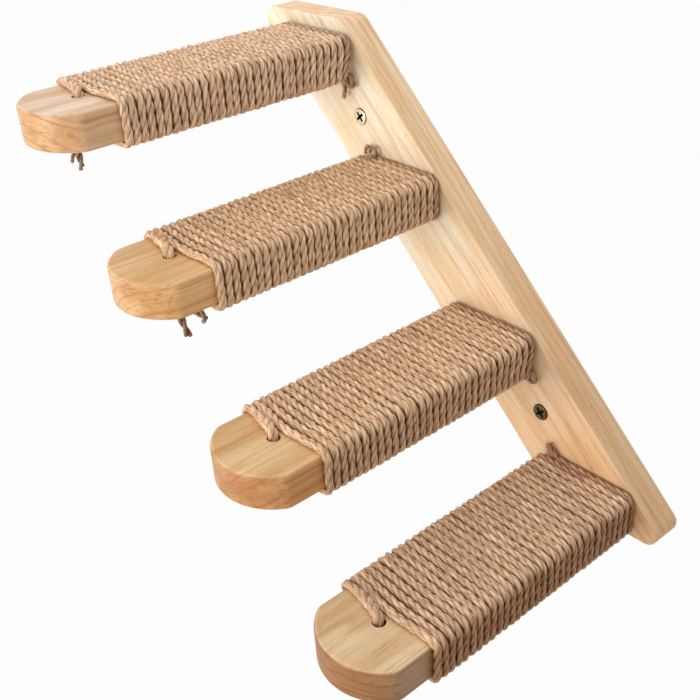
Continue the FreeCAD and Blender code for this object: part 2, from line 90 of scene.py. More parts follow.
def rubberwood(name, turn, pith, tones, tints, edge, seed):
    """Rubberwood, planed, sanded and lacquered: a soft straw ground that mottles to tan, faint growth
    rings, a few reddish streaks, fine fibres with short dark pores, and darker, more banded end grain.

    turn lays the grain along X, and pith is the rings' middle, across and up in millimetres. The tones are
    the ground's, the mottle's, the rings' and the streaks'. The tints are for the end grain and for the
    narrow edges, which face along the edge axis, with painted shade in them on the low treads; the last two
    paint shade on the faces and the edges towards the plank's far end, where the light falls off.
    """
    mottle = (75.0, 15.0, 15.0)                 # length, width and depth, in millimetres
    streak = (60.0, 2.2, 2.2)
    edge_streak = (120.0, 4.0, 4.0)
    row = (60.0, 9.0, 1.1)                      # of vessels on the end grain
    fibre = (26.0, 0.8, 0.8)                    # fibres and pores are drawn coarser than real, to show
    pore = (5.0, 0.6, 0.6)
    ring_width, ring_wander = 3.6, 10.0
    ring_wave = (120.0, 24.0, 24.0)
    far_from, far_to = -170.0, 260.0            # along the grain, where the painted shade starts and where it is full
    white = (1, 1, 1, 1)
    pale, middle, dark, red = [linear(tone) for tone in tones]
    end_tint, edge_tint, far_shade_tint, far_edge_shade_tint = [linear(tint) for tint in tints]
    material, tree = new_material(name)
    place = add(tree, "ShaderNodeTexCoord")
    millimetres = add(tree, "ShaderNodeMapping", {"Vector": place.outputs["Object"], "Rotation": turn,
                                                  "Scale": (1 / MM, 1 / MM, 1 / MM)})
    grain = millimetres.outputs["Vector"]

    def figure(size, detail):
        """This plank's own noise, in spots of the given length, width and depth."""
        return stretched_noise(tree, grain, size, detail, 0.55, shift=(seed, seed * 1.7, seed * 0.6))

    facing = add(tree, "ShaderNodeVectorRotate", {"Vector": place.outputs["Normal"], "Rotation": turn},
                 rotation_type="EULER_XYZ")
    along = add(tree, "ShaderNodeSeparateXYZ", {0: facing.outputs[0]})
    to_end = add(tree, "ShaderNodeMath", {0: along.outputs["X"]}, operation="ABSOLUTE")
    to_edge = add(tree, "ShaderNodeMath", {0: along.outputs[edge]}, operation="ABSOLUTE")
    down_grain = add(tree, "ShaderNodeSeparateXYZ", {0: grain})
    end_share, edge_share, far_share = [
        add(tree, "ShaderNodeMapRange", {"Value": value, "From Min": start, "From Max": full},
            interpolation_type="SMOOTHSTEP").outputs[0]
        for value, start, full in ((to_end.outputs[0], 0.3, 0.95), (to_edge.outputs[0], 0.1, 0.95),
                                   (down_grain.outputs["X"], far_from, far_to))]

    wander = add(tree, "ShaderNodeMath", {0: figure(ring_wave, 2.0), 1: ring_wander}, operation="MULTIPLY")
    flat = add(tree, "ShaderNodeVectorMath", {0: grain, 1: (0.0, 1.0, 1.0)}, operation="MULTIPLY")
    from_pith = add(tree, "ShaderNodeVectorMath", {0: flat.outputs[0], 1: (0.0, *pith)},
                    operation="SUBTRACT")
    radius = add(tree, "ShaderNodeVectorMath", {0: from_pith.outputs[0]}, operation="LENGTH")
    ring = add(tree, "ShaderNodeMath", {0: radius.outputs["Value"], 1: wander.outputs[0]})
    ring_place = add(tree, "ShaderNodeMath", {0: ring.outputs[0], 1: 1 / ring_width}, operation="MULTIPLY")
    bands = add(tree, "ShaderNodeTexNoise", {"W": ring_place.outputs[0], "Scale": 1.0, "Detail": 2.0,
                                             "Roughness": 0.6}, noise_dimensions="1D")
    ring_weight = add(tree, "ShaderNodeMapRange", {"Value": end_share, "To Min": 0.42, "To Max": 0.72},
                      interpolation_type="SMOOTHSTEP")

    layers = (                                  # noise, where it starts and is full, strength, share, tone
        (figure(mottle, 2.0), 0.34, 0.68, 1.0, 1.0, middle),
        (bands.outputs[0], 0.46, 0.74, 1.0, ring_weight.outputs[0], dark),
        (figure(row, 1.0), 0.56, 0.70, 0.8, end_share, dark),
        (figure(streak, 1.0), 0.56, 0.74, 0.5, 1.0, red),
        (figure(edge_streak, 2.0), 0.54, 0.70, 0.75, edge_share, dark),
    )
    toned = pale
    for noise, start, full, strength, share, tone in layers:
        shown = add(tree, "ShaderNodeMapRange", {"Value": noise, "From Min": start, "From Max": full,
                                                 "To Max": strength}, interpolation_type="SMOOTHSTEP")
        weight = add(tree, "ShaderNodeMath", {0: shown.outputs[0], 1: share}, operation="MULTIPLY")
        toned = add(tree, "ShaderNodeMix", {"Factor": weight.outputs[0], 6: toned, 7: tone},
                    data_type="RGBA").outputs[2]

    fibres = figure(fibre, 2.0)
    fibre_shade = add(tree, "ShaderNodeMapRange", {
        "Value": fibres, "From Min": 0.3, "From Max": 0.7, "To Min": 0.94, "To Max": 1.04},
        interpolation_type="SMOOTHSTEP")
    pores = add(tree, "ShaderNodeMapRange", {
        "Value": figure(pore, 0.0), "From Min": 0.64, "From Max": 0.78, "To Min": 1.0, "To Max": 0.84},
        interpolation_type="SMOOTHSTEP")
    shade = add(tree, "ShaderNodeMath", {0: fibre_shade.outputs[0], 1: pores.outputs[0]},
                operation="MULTIPLY")
    shaded = add(tree, "ShaderNodeVectorMath", {0: toned, "Scale": shade.outputs[0]}, operation="SCALE")
    by_edge = add(tree, "ShaderNodeMix", {"Factor": edge_share, 6: white, 7: edge_tint}, data_type="RGBA")
    tint = add(tree, "ShaderNodeMix", {"Factor": end_share, 6: by_edge.outputs[2], 7: end_tint},
               data_type="RGBA")
    far_end = add(tree, "ShaderNodeMix", {"Factor": edge_share, 6: far_shade_tint, 7: far_edge_shade_tint},
                  data_type="RGBA")
    far = add(tree, "ShaderNodeMix", {"Factor": far_share, 6: white, 7: far_end.outputs[2]},
              data_type="RGBA")
    # The end and edge tints, with painted shade that darkens the plank towards its far end
    tint_and_painted_shade = add(tree, "ShaderNodeVectorMath", {0: tint.outputs[2], 1: far.outputs[2]}, operation="MULTIPLY")
    colour = add(tree, "ShaderNodeVectorMath", {0: shaded.outputs[0], 1: tint_and_painted_shade.outputs[0]},
                 operation="MULTIPLY")
    relief = add(tree, "ShaderNodeMath", {0: fibres, 1: pores.outputs[0]}, operation="MULTIPLY")
    bump = add(tree, "ShaderNodeBump", {"Height": relief.outputs[0], "Strength": 0.2, "Distance": 0.1 * MM})
    gloss = add(tree, "ShaderNodeMapRange", {
        "Value": fibres, "From Min": 0.2, "From Max": 0.8, "To Min": 0.42, "To Max": 0.58},
        interpolation_type="SMOOTHSTEP")
    surface = add(tree, "ShaderNodeBsdfPrincipled", {
        "Base Color": colour.outputs[0], "Roughness": gloss.outputs[0], "Normal": bump.outputs[0],
        "IOR": 1.5, "Coat Weight": 0.2, "Coat Roughness": 0.3})
    add(tree, "ShaderNodeOutputMaterial", {"Surface": surface.outputs[0]})
    return material


def dress(name, material):
    """Give a CAD node its finish."""
    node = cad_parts[name]
    node.data.materials.clear()
    node.data.materials.append(material)


board_wood = rubberwood("rubberwood_board", turn=(0.0, -BOARD_SLANT, 0.0), pith=BOARD_PITH,
                        tones=BOARD_TONES, tints=BOARD_TINTS_AND_SHADE, edge="Z", seed=3.1)
dress("wall_board", board_wood)

# The treads
# Four planks of the same rubberwood, cut to an arch at the nose and butted against the board. Each has a
# hole through the bare nose, where the rope's end goes down.
TREADS = (1, 2, 3, 4)                   # from the top
TREAD_TONES = {
    1: ("#e6cfb6", "#d4b28b", "#c4864c", "#c9956c"),
    2: ("#e0bb88", "#d0a061", "#b8783c", "#c08450"),
    3: ("#debc8c", "#cea169", "#b8783e", "#c08450"),
    4: ("#ddc198", "#cba678", "#b67c46", "#be8856"),
}
# The end grain and the sides have their own tints, and painted shade darkens them on the low treads, where
# the light falls off.
END_GRAIN_AND_SHADE_TINTS = {1: "#f4d8ac", 2: "#faf0e6", 3: "#e2c49e", 4: "#b4883c"}
EDGE_AND_SHADE_TINTS = {1: "#f6e6d2", 2: "#fbf0e2", 3: "#dec09e", 4: "#ae997e"}
UNTINTED = "#ffffff"                    # a tread is no browner at one end than at the other
TREAD_PITHS = {1: (8.0, -70.0), 2: (-40.0, -55.0), 3: (25.0, 60.0), 4: (-15.0, -90.0)}
for tread in TREADS:
    low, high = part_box(f"tread_{tread}")
    middle = (low + high) / 2
    across, up = TREAD_PITHS[tread]
    wood = rubberwood(f"rubberwood_tread_{tread}", turn=(0.0, 0.0, -math.pi / 2),
                      pith=(across - middle.x / MM, up + middle.z / MM), tones=TREAD_TONES[tread],
                      tints=(END_GRAIN_AND_SHADE_TINTS[tread], EDGE_AND_SHADE_TINTS[tread], UNTINTED, UNTINTED), edge="Y",
                      seed=7.0 * tread)
    dress(f"tread_{tread}", wood)

# The tread screws
# Two zinc-plated wood screws go through the board from behind into the end grain of each tread, with their
# countersunk heads just below the board's back.
ZINC_TONES = ("#a9abad", "#cfd1d2")


def plated_steel(name, tones, blotch, detail, roughness):
    """Steel, rolled and plated: a metal that drifts between two tones and two degrees of gloss, in soft
    blotches of a size in millimetres."""
    material, tree = new_material(name)
    place = add(tree, "ShaderNodeTexCoord")
    noise = add(tree, "ShaderNodeTexNoise", {"Vector": place.outputs["Object"], "Scale": 1 / (blotch * MM),
                                             "Detail": detail})
    first, second = [linear(tone) for tone in tones]
    tone = add(tree, "ShaderNodeMix", {"Factor": noise.outputs[0], 6: first, 7: second}, data_type="RGBA")
    gloss = add(tree, "ShaderNodeMapRange", {"Value": noise.outputs[0], "To Min": roughness[0],
                                             "To Max": roughness[1]})
    surface = add(tree, "ShaderNodeBsdfPrincipled", {"Base Color": tone.outputs[2], "Metallic": 1.0,
                                                     "Roughness": gloss.outputs[0]})
    add(tree, "ShaderNodeOutputMaterial", {"Surface": surface.outputs[0]})
    return material


# Zinc gives a cool grey metal with an even, soft gloss.
zinc_plated_steel = plated_steel("zinc_plated_steel", ZINC_TONES, blotch=2.5, detail=3.0,
                                 roughness=(0.25, 0.45))
for tread in TREADS:
    for side in ("left", "right"):
        dress(f"tread_{tread}_screw_{side}", zinc_plated_steel)

# The wall screws
# Two stout wood screws with an antique brass finish hold the board to the wall: a countersunk head with a
# cross recess, a plain neck through the board, and a rolled thread that starts at the board's back.
SCREW_HEAD = 6.0                        # radii and lengths in millimetres
SCREW_NECK = 2.2
SCREW_CORE = 2.05
SCREW_THREAD = 3.0
SCREW_TIP = 6.0                         # the length of the point
SCREW_PROUD = 1.0                       # how far the rim stands out of its seat
RIM_EASE = 0.5
CONE_TO_NECK, NECK_TO_THREAD = 1.0, 0.4
THREAD_PITCH = 2.6
RIDGE_SLOPE = 3.2                       # of the thread's ridge, to both sides
SCREW_SIDES, NECK_RINGS, PITCH_RINGS = 36, 6, 12
LAST_RING = 0.1                         # before the point
CROSS_ARM, CROSS_SLOT, CROSS_DEPTH = 4.3, 2.1, 2.6
CROSS_FOOT_ARM, CROSS_FOOT_SLOT = 0.55 * CROSS_ARM, 0.3 * CROSS_SLOT       # it narrows to its foot
CROSS_CLEAR = 0.5                       # how far the cross stands out of the face that it is cut from
CROSS_TURN = math.radians(40)
SHADED_RIM = 0.4                       # of the rim, which gets a painted dark reflection, as black as the recess
WASH_MARGIN = 0.1
SHARP_EDGE = math.radians(35)
# Painted reflection: the upper head is pale with the bright room that it reflects, and the lower one dark
# with the shade that it reflects.
BRASS_REFLECTION_TONES = {"upper": ("#f2e4c6", "#dcc69a"), "lower": ("#6f6443", "#3b3524")}
# The black in the cross recess is the antique wash, deepened by painted shade; on the rim it is a painted
# dark reflection.
WASH_AND_SHADE_TONES = ("#2a2318", "#17130d")


def antique_brass(name, tones):
    """Brass-plated steel with an antique wash: yellowish, rubbed bright in spots and brown in others."""
    return plated_steel(name, tones, blotch=1.8, detail=4.0, roughness=(0.3, 0.55))


def mesh_from(name, vertices, faces):
    """A mesh from points in millimetres."""
    mesh = bpy.data.meshes.new(name)
    mesh.from_pydata((np.asarray(vertices, float) * MM).tolist(), [], faces)
    mesh.update()
    return mesh


def screw_mesh(name, length, neck_end):
    """A screw along +Y, with the edge of its head at the origin and its face a little before that."""
    angle = np.linspace(0.0, 2 * np.pi, SCREW_SIDES, endpoint=False)

    def ring(depth, radius):
        return np.column_stack([radius * np.cos(angle), np.full(SCREW_SIDES, depth),
                                radius * np.sin(angle)])

    cone_end = SCREW_HEAD - SCREW_NECK
    rings = [ring(-SCREW_PROUD, SCREW_HEAD - RIM_EASE),
             ring(RIM_EASE / 2 - SCREW_PROUD, SCREW_HEAD - RIM_EASE / 5),
             ring(0.0, SCREW_HEAD), ring(cone_end, SCREW_NECK)]
    for depth in np.linspace(cone_end + CONE_TO_NECK, neck_end - NECK_TO_THREAD, NECK_RINGS):
        rings.append(ring(depth, SCREW_NECK))
    for depth in np.arange(neck_end, length - LAST_RING, THREAD_PITCH / PITCH_RINGS):
        turn = (depth / THREAD_PITCH - angle / (2 * np.pi)) % 1.0
        ridge = np.clip(1 - np.abs(turn - 0.5) * RIDGE_SLOPE, 0.0, 1.0)
        start = min(1.0, (depth - neck_end) / THREAD_PITCH)
        taper = min(1.0, (length - depth) / SCREW_TIP)
        rings.append(ring(depth, (SCREW_CORE + (SCREW_THREAD - SCREW_CORE) * ridge * start) * taper))
    vertices = np.vstack(rings + [[[0.0, -SCREW_PROUD, 0.0], [0.0, length, 0.0]]])
    hub = len(rings) * SCREW_SIDES
    last = hub - SCREW_SIDES
    faces = []
    for first in range(0, last, SCREW_SIDES):
        second = first + SCREW_SIDES
        for side in range(SCREW_SIDES):
            beyond = (side + 1) % SCREW_SIDES
            faces.append((second + side, second + beyond, first + beyond, first + side))
    faces += [(hub, side, (side + 1) % SCREW_SIDES) for side in range(SCREW_SIDES)]
    faces += [(hub + 1, last + (side + 1) % SCREW_SIDES, last + side) for side in range(SCREW_SIDES)]
    return mesh_from(name, vertices, faces)


def cross_mesh(name):
    """The tapered cross that a driver fits."""
    rings = []
    for depth, arm, slot in ((-SCREW_PROUD - CROSS_CLEAR, CROSS_ARM, CROSS_SLOT / 2),
                             (CROSS_DEPTH - SCREW_PROUD, CROSS_FOOT_ARM, CROSS_FOOT_SLOT)):
        for turn in range(4):
            spin = CROSS_TURN + turn * math.pi / 2
            for x, z in ((arm, -slot), (arm, slot), (slot, slot)):
                rings.append((x * math.cos(spin) - z * math.sin(spin), depth,
                              x * math.sin(spin) + z * math.cos(spin)))
    count = len(rings) // 2
    faces = [(count + i, count + (i + 1) % count, (i + 1) % count, i) for i in range(count)]
    faces += [tuple(range(count)), tuple(range(count, 2 * count))[::-1]]
    return mesh_from(name, rings, faces)


def cut_out(mesh, cutter_mesh):
    """The mesh with another one cut out of it."""
    solid = bpy.data.objects.new("solid", mesh)
    cutter = bpy.data.objects.new("cutter", cutter_mesh)
    for item in (solid, cutter):
        bpy.context.scene.collection.objects.link(item)
    boolean = solid.modifiers.new("cut", "BOOLEAN")
    boolean.operation = "DIFFERENCE"
    boolean.object = cutter
    bpy.context.view_layer.update()
    result = bpy.data.meshes.new_from_object(solid.evaluated_get(bpy.context.evaluated_depsgraph_get()))
    bpy.data.objects.remove(solid)
    bpy.data.objects.remove(cutter)
    return result


def add_piece(name, mesh, material, slot, *replaced):
    """A new visible piece that moves with the part."""
    piece = bpy.data.objects.new(name, mesh)
    bpy.context.scene.collection.objects.link(piece)
    mesh.materials.clear()
    mesh.materials.append(material)
    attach(piece, "root")
    if replaced:
        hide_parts(*replaced)


black_wash_and_shade = antique_brass("antique_brass_wash_and_shade", WASH_AND_SHADE_TONES)
for level, tones in BRASS_REFLECTION_TONES.items():
    node = f"wall_screw_{level}"
    low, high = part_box(node)
    blank = screw_mesh(f"{node}_turned", (high.y - low.y) / MM, -low.y / MM)
    shaped = cut_out(blank, cross_mesh("driver_cross"))
    shaped.polygons.foreach_set("use_smooth", np.ones(len(shaped.polygons), bool))
    shaped.set_sharp_from_angle(angle=SHARP_EDGE)
    centres = np.empty(len(shaped.polygons) * 3)
    shaped.polygons.foreach_get("center", centres)
    centres = centres.reshape(-1, 3) / MM
    reach = np.hypot(centres[:, 0], centres[:, 2])
    depth = centres[:, 1] + SCREW_PROUD         # below the head's face
    # Painted shade in the recess, over its wash, and a painted dark reflection on the rim
    in_cross = (reach < CROSS_ARM + WASH_MARGIN) & (depth < CROSS_DEPTH + WASH_MARGIN)
    recess = in_cross & (depth > WASH_MARGIN / 2)
    rim = (reach > SCREW_HEAD - SHADED_RIM) & (depth > WASH_MARGIN * 2)
    shaped.transform(Matrix.Translation(((low.x + high.x) / 2, low.y, (low.z + high.z) / 2)))
    brass = antique_brass(f"antique_brass_{level}", tones)
    add_piece(f"{node}_turned", shaped, brass, "antique_brass", node)
    shaped.materials.append(black_wash_and_shade)
    shaped.polygons.foreach_set("material_index", (recess | rim).astype(np.int32))

# The rope windings
# Natural jute rope, laid from three strands with a right-hand twist and wound tight round each tread, turn
# beside turn. It starts at the board with a cut end, and its last run goes down the hole in the nose. Loose
# fibres stand off it all round and fray out of the cut end.
ROPE_WIDTH = 5.65 * MM
ROPE_THICKNESS = 4.8 * MM               # pressed flat by the winding
ROPE_LAY = 23.0 * MM                    # one full twist of a strand
ROPE_STAND_OFF = 0.15 * MM + ROPE_THICKNESS / 2        # from the wood to the rope's middle
STRANDS = 3
STRAND_RADIUS = 0.295 * ROPE_WIDTH      # pressed together
STRAND_CIRCLE = ROPE_WIDTH / 2 - STRAND_RADIUS
LOOSE_CIRCLE = STRAND_RADIUS * 0.85     # of two strands that have come away from the third
STRAND_UNEVEN = 0.06                    # share of its radius
SLACK, SLACK_SPAN = 0.35, 14.0 * MM     # the lay is looser or tighter by this angle, from place to place
YARNS = 3                               # in a strand
YARN_LAY = 45.0 * MM                    # the other way round, so that the yarns run with the rope
YARN_RELIEF = 0.07                      # share of the strand's radius
ROPE_STEP = 1.0 * MM                    # length of one ring of mesh
STRAND_SIDES = 12
ROPE_TURNS = 32
ROPE_START = 3.5 * MM                   # from the board to the middle of the first turn
START_ON_TOP = (2, 4)                   # treads where the winding starts on top, not underneath
FIRST_REACH = 19.0 * MM                 # across the top, to where it then lies straight
BARE_NOSE = 41.5 * MM
HOLE_OFFSET = 4.0 * MM                  # from the last turn to the middle of the hole
NOSE_CROSSING = (-15.0 * MM, 2.2 * MM)  # across, and out from the last turn, where the last run leaves it
HOLE_BRINK = (-2.6 * MM, -1.6 * MM, 0.5 * MM)  # across, out from the hole and up, where it bends down
HOLE_DIP = 5.5 * MM                     # from there on it goes straight down
HOLE_PASS = 1.0 * MM                    # below the winding's underside
EDGE_HOLD = 11.0 * MM                   # how far from a corner the rope leaves its straight run
TURN_UNEVEN = 0.24 * MM
HOLE_PULL, PULLED_TURNS = 3.6 * MM, 2.0    # the last turns bow towards the hole
LEAST_PULL = 0.1 * MM
SETTLE_TURNS = 5.0                      # in which the winding goes from lying by the board to its lean
HUGS = {                                # by how many pitches the first turns' corners lie nearer the board,
    True: (0.5, 0.4, 0.2, 0.3),         # where the winding starts on top,
    False: (0.85, 0.15, 0.2, 0.3),      # and where it starts underneath
}
STUB_POINTS = {                         # the curled start: across, out from the board and up, in mm
    1: ((29.5, 4.5, -28.5), (32.5, 4.8, -21.5), (30.0, 5.5, -15.5), (34.5, 6.0, -9.0), (41.0, 5.5, -11.5),
        (40.0, 4.5, -19.5), (34.0, 3.1, -18.5), (31.0, 3.1, -14.6)),
    2: ((-32.5, 4.5, 17.5), (-32.5, 4.2, 23.5), (-28.4, 4.0, 23.0), (-28.4, 4.0, 17.0), (-26.5, 4.2, 24.0),
        (-21.5, 4.2, 22.5), (-22.0, 3.6, 16.5), (-29.0, 3.1, 15.0)),
    3: ((36.0, 4.0, -17.5), (34.5, 4.0, -13.5), (37.5, 4.5, -10.0), (42.0, 4.5, -12.0), (41.5, 4.0, -18.5),
        (36.5, 3.6, -20.0), (32.5, 3.1, -16.0)),
    4: ((-33.0, 3.5, 23.5), (-30.0, 3.8, 20.5), (-27.0, 3.6, 17.5), (-25.0, 3.2, 15.0)),
}
STUB_LENGTH = {1: 38.0, 2: 34.0, 3: 30.0, 4: 13.0}     # of rope, in millimetres
STUB_WIDTH = {1: 0.62, 2: 0.48, 3: 0.48, 4: 0.85}      # shares of the rope's
STUB_TAPER = (-12.0, 6.0)               # from the stub's length, in millimetres
OPENED_SPAN = (62.0, 44.0)              # from the rope's last end, in millimetres
OPENED_WIDTH = 0.3                      # share of the rope's, beyond its own
FIRST_TURN = 240.0 * MM                 # the rope that lies by the board, with its start
LAST_TURN = 270.0 * MM                  # the rope that lies free on one side, by the nose
ROPE_TONES_AND_SHADE = {                          # each rope has its own tone, and the lowest is darker as painted shade, where the light falls off
    1: ("#bd936d", "#ebc4a0", "#fde4c5"),
    2: ("#b98e66", "#e6be97", "#f8ddb9"),
    3: ("#b88d67", "#e6be98", "#f8ddb9"),
    4: ("#ac8561", "#d8b18f", "#ead0b0"),
}
# Painted shade: the rope is mixed towards this brown in its grooves, between strands, turns and yarns, and
# by the board.
GROOVE_SHADE_TONE = "#6a3508"
SIDE_SHADE = {1: 0.0, 2: 0.06, 3: 0.31, 4: 0.56}        # painted shade: the sides are darker, most on the low treads
# Painted shade all round the thin start of each rope
STUB_SHADE = 0.38
BOARD_SHADE, BOARD_SHADE_LEAST = 0.85, 0.3             # of the first turn, least on the side away from it
BOARD_SHADE_SPAN = (-0.6, 0.5)          # from facing away from the board to facing it
STRAND_GROOVE, STRAND_GROOVE_BESIDE = 0.45, 0.28       # painted shade between strands: how dark it is, and how much more at the sides
STRAND_GROOVE_SPAN = (-0.35, 0.45)      # from facing out of the rope to facing its middle
# Painted shade between turns: how dark it is, how much more at the sides, and how much more where shaded
# all round
TURN_GROOVE, TURN_GROOVE_BESIDE, TURN_GROOVE_SHADED = 0.50, 0.36, 0.16
TURN_GROOVE_SPAN = (0.5, -0.1)          # from the height in its turn where the dark starts to its full dark
TURN_RISE_BESIDE, TURN_RISE_SHADED = 0.12, 0.45        # how much higher the dark reaches there
# Painted shade between the yarns, and in the middle of each cut end
YARN_GROOVE = 0.05
CUT_END_GROOVE = 0.3
FREE_LIFT = 2.0                         # of rope with no neighbour, whose sides stay light
WORN_THIN = 0.97                        # share of its width, below which the rope is the stub's


def read_route(points, cyclic=False):
    """Points along the smooth NURBS line through a route's control points."""
    curve = bpy.data.curves.new("route", "CURVE")
    curve.dimensions = "3D"
    spline = curve.splines.new("NURBS")
    spline.points.add(len(points) - 1)
    for control, point in zip(spline.points, points):
        control.co = (*point, 1.0)
    spline.order_u = 3
    spline.use_endpoint_u = not cyclic
    spline.use_cyclic_u = cyclic
    spline.resolution_u = 8
    holder = bpy.data.objects.new("route", curve)
    line = bpy.data.meshes.new_from_object(holder)
    places = np.empty(len(line.vertices) * 3)
    line.vertices.foreach_get("co", places)
    bpy.data.objects.remove(holder)
    bpy.data.curves.remove(curve)
    bpy.data.meshes.remove(line)
    places = places.reshape(-1, 3)
    return np.vstack([places, places[:1]]) if cyclic else places


def even_steps(places, step):
    """The same line in even steps, and the distance along it at each."""
    lengths = np.linalg.norm(np.diff(places, axis=0), axis=1)
    places = places[np.concatenate([[True], lengths > 1e-9])]
    along = np.concatenate([[0.0], np.cumsum(np.linalg.norm(np.diff(places, axis=0), axis=1))])
    even = np.linspace(0.0, along[-1], max(2, round(along[-1] / step) + 1))
    return np.column_stack([np.interp(even, along, places[:, axis]) for axis in range(3)]), even


def unit(vectors):
    """The same directions with a length of 1."""
    return vectors / np.linalg.norm(vectors, axis=-1, keepdims=True)


def smooth_step(values, low, high):
    """0 at low, 1 at high and smooth between them."""
    share = np.clip((values - low) / (high - low), 0.0, 1.0)
    return share * share * (3 - 2 * share)


def jute(name, tones):
    """Jute yarn, spun and laid: dull tan fibres that run with the yarns, with painted shade, brown, in
    the grooves, and no gloss but a faint sheen of loose hairs."""
    fibre = (0.85, 0.85, 8.0)                   # across, across and along the strand, in millimetres
    slub = (1.6, 1.6, 12.0)                     # fibres and slubs are drawn coarser than real, to show
    material, tree = new_material(name)
    straight = add(tree, "ShaderNodeAttribute", attribute_name="laid_straight", attribute_type="GEOMETRY")
    fibres = stretched_noise(tree, straight.outputs["Vector"], fibre, 3.0, 0.6)
    slubs = stretched_noise(tree, straight.outputs["Vector"], slub, 1.0, 0.6)
    toned = add(tree, "ShaderNodeValToRGB", {"Fac": fibres})
    ramp = toned.color_ramp
    ramp.elements[0].position, ramp.elements[0].color = 0.34, linear(tones[0])
    ramp.elements[1].position, ramp.elements[1].color = 0.66, linear(tones[2])
    ramp.elements.new(0.5).color = linear(tones[1])
    slub_shade = add(tree, "ShaderNodeMapRange", {"Value": slubs, "From Min": 0.3, "From Max": 0.7,
                                                  "To Min": 0.76, "To Max": 1.14})
    crown = add(tree, "ShaderNodeVectorMath", {0: toned.outputs[0], "Scale": slub_shade.outputs[0]},
                operation="SCALE")
    groove_shade = add(tree, "ShaderNodeAttribute", attribute_name="groove_shade", attribute_type="GEOMETRY")
    colour = add(tree, "ShaderNodeMix", {"Factor": groove_shade.outputs["Fac"], 6: crown.outputs[0],
                                         7: linear(GROOVE_SHADE_TONE)}, data_type="RGBA")
    bump = add(tree, "ShaderNodeBump", {"Height": fibres, "Strength": 0.7, "Distance": 0.25 * MM})
    surface = add(tree, "ShaderNodeBsdfPrincipled", {
        "Base Color": colour.outputs[2], "Roughness": 0.85, "Normal": bump.outputs[0], "IOR": 1.45,
        "Specular IOR Level": 0.15, "Sheen Weight": 0.04, "Sheen Roughness": 0.5})
    add(tree, "ShaderNodeOutputMaterial", {"Surface": surface.outputs[0]})
    return material


jute_ropes = {tread: jute(f"jute_rope_{tread}", ROPE_TONES_AND_SHADE[tread]) for tread in TREADS}


def spokes_at(angle, outward, beside):
    """Directions away from each point of a line, at angles from outward to beside."""
    return (np.cos(angle)[None, :, None] * outward[:, None, :]
            + np.sin(angle)[None, :, None] * beside[:, None, :])


def tube_mesh(name, rings, ends):
    """A closed tube through rings of points, with one more point in the middle of each end."""
    count, sides = rings.shape[:2]
    vertices = np.vstack([rings.reshape(-1, 3), ends])
    first = np.arange(count - 1)[:, None] * sides
    side = np.arange(sides)[None, :]
    beyond = (side + 1) % sides
    quads = np.stack([first + side, first + beyond, first + sides + beyond, first + sides + side], axis=-1)
    hub, last = count * sides, (count - 1) * sides
    start_cap = np.column_stack([np.full(sides, hub), beyond[0], side[0]])
    end_cap = np.column_stack([np.full(sides, hub + 1), last + side[0], last + beyond[0]])
    loops = np.concatenate([quads.ravel(), start_cap.ravel(), end_cap.ravel()])
    corners = np.repeat([4, 3], [last, 2 * sides])
    mesh = bpy.data.meshes.new(name)
    mesh.vertices.add(len(vertices))
    mesh.vertices.foreach_set("co", vertices.ravel())
    mesh.loops.add(len(loops))
    mesh.loops.foreach_set("vertex_index", loops.astype(np.int32))
    mesh.polygons.add(len(corners))
    mesh.polygons.foreach_set("loop_start", np.concatenate([[0], np.cumsum(corners)[:-1]]).astype(np.int32))
    mesh.update(calc_edges=True)
    mesh.polygons.foreach_set("use_smooth", np.ones(len(corners), bool))
    return mesh


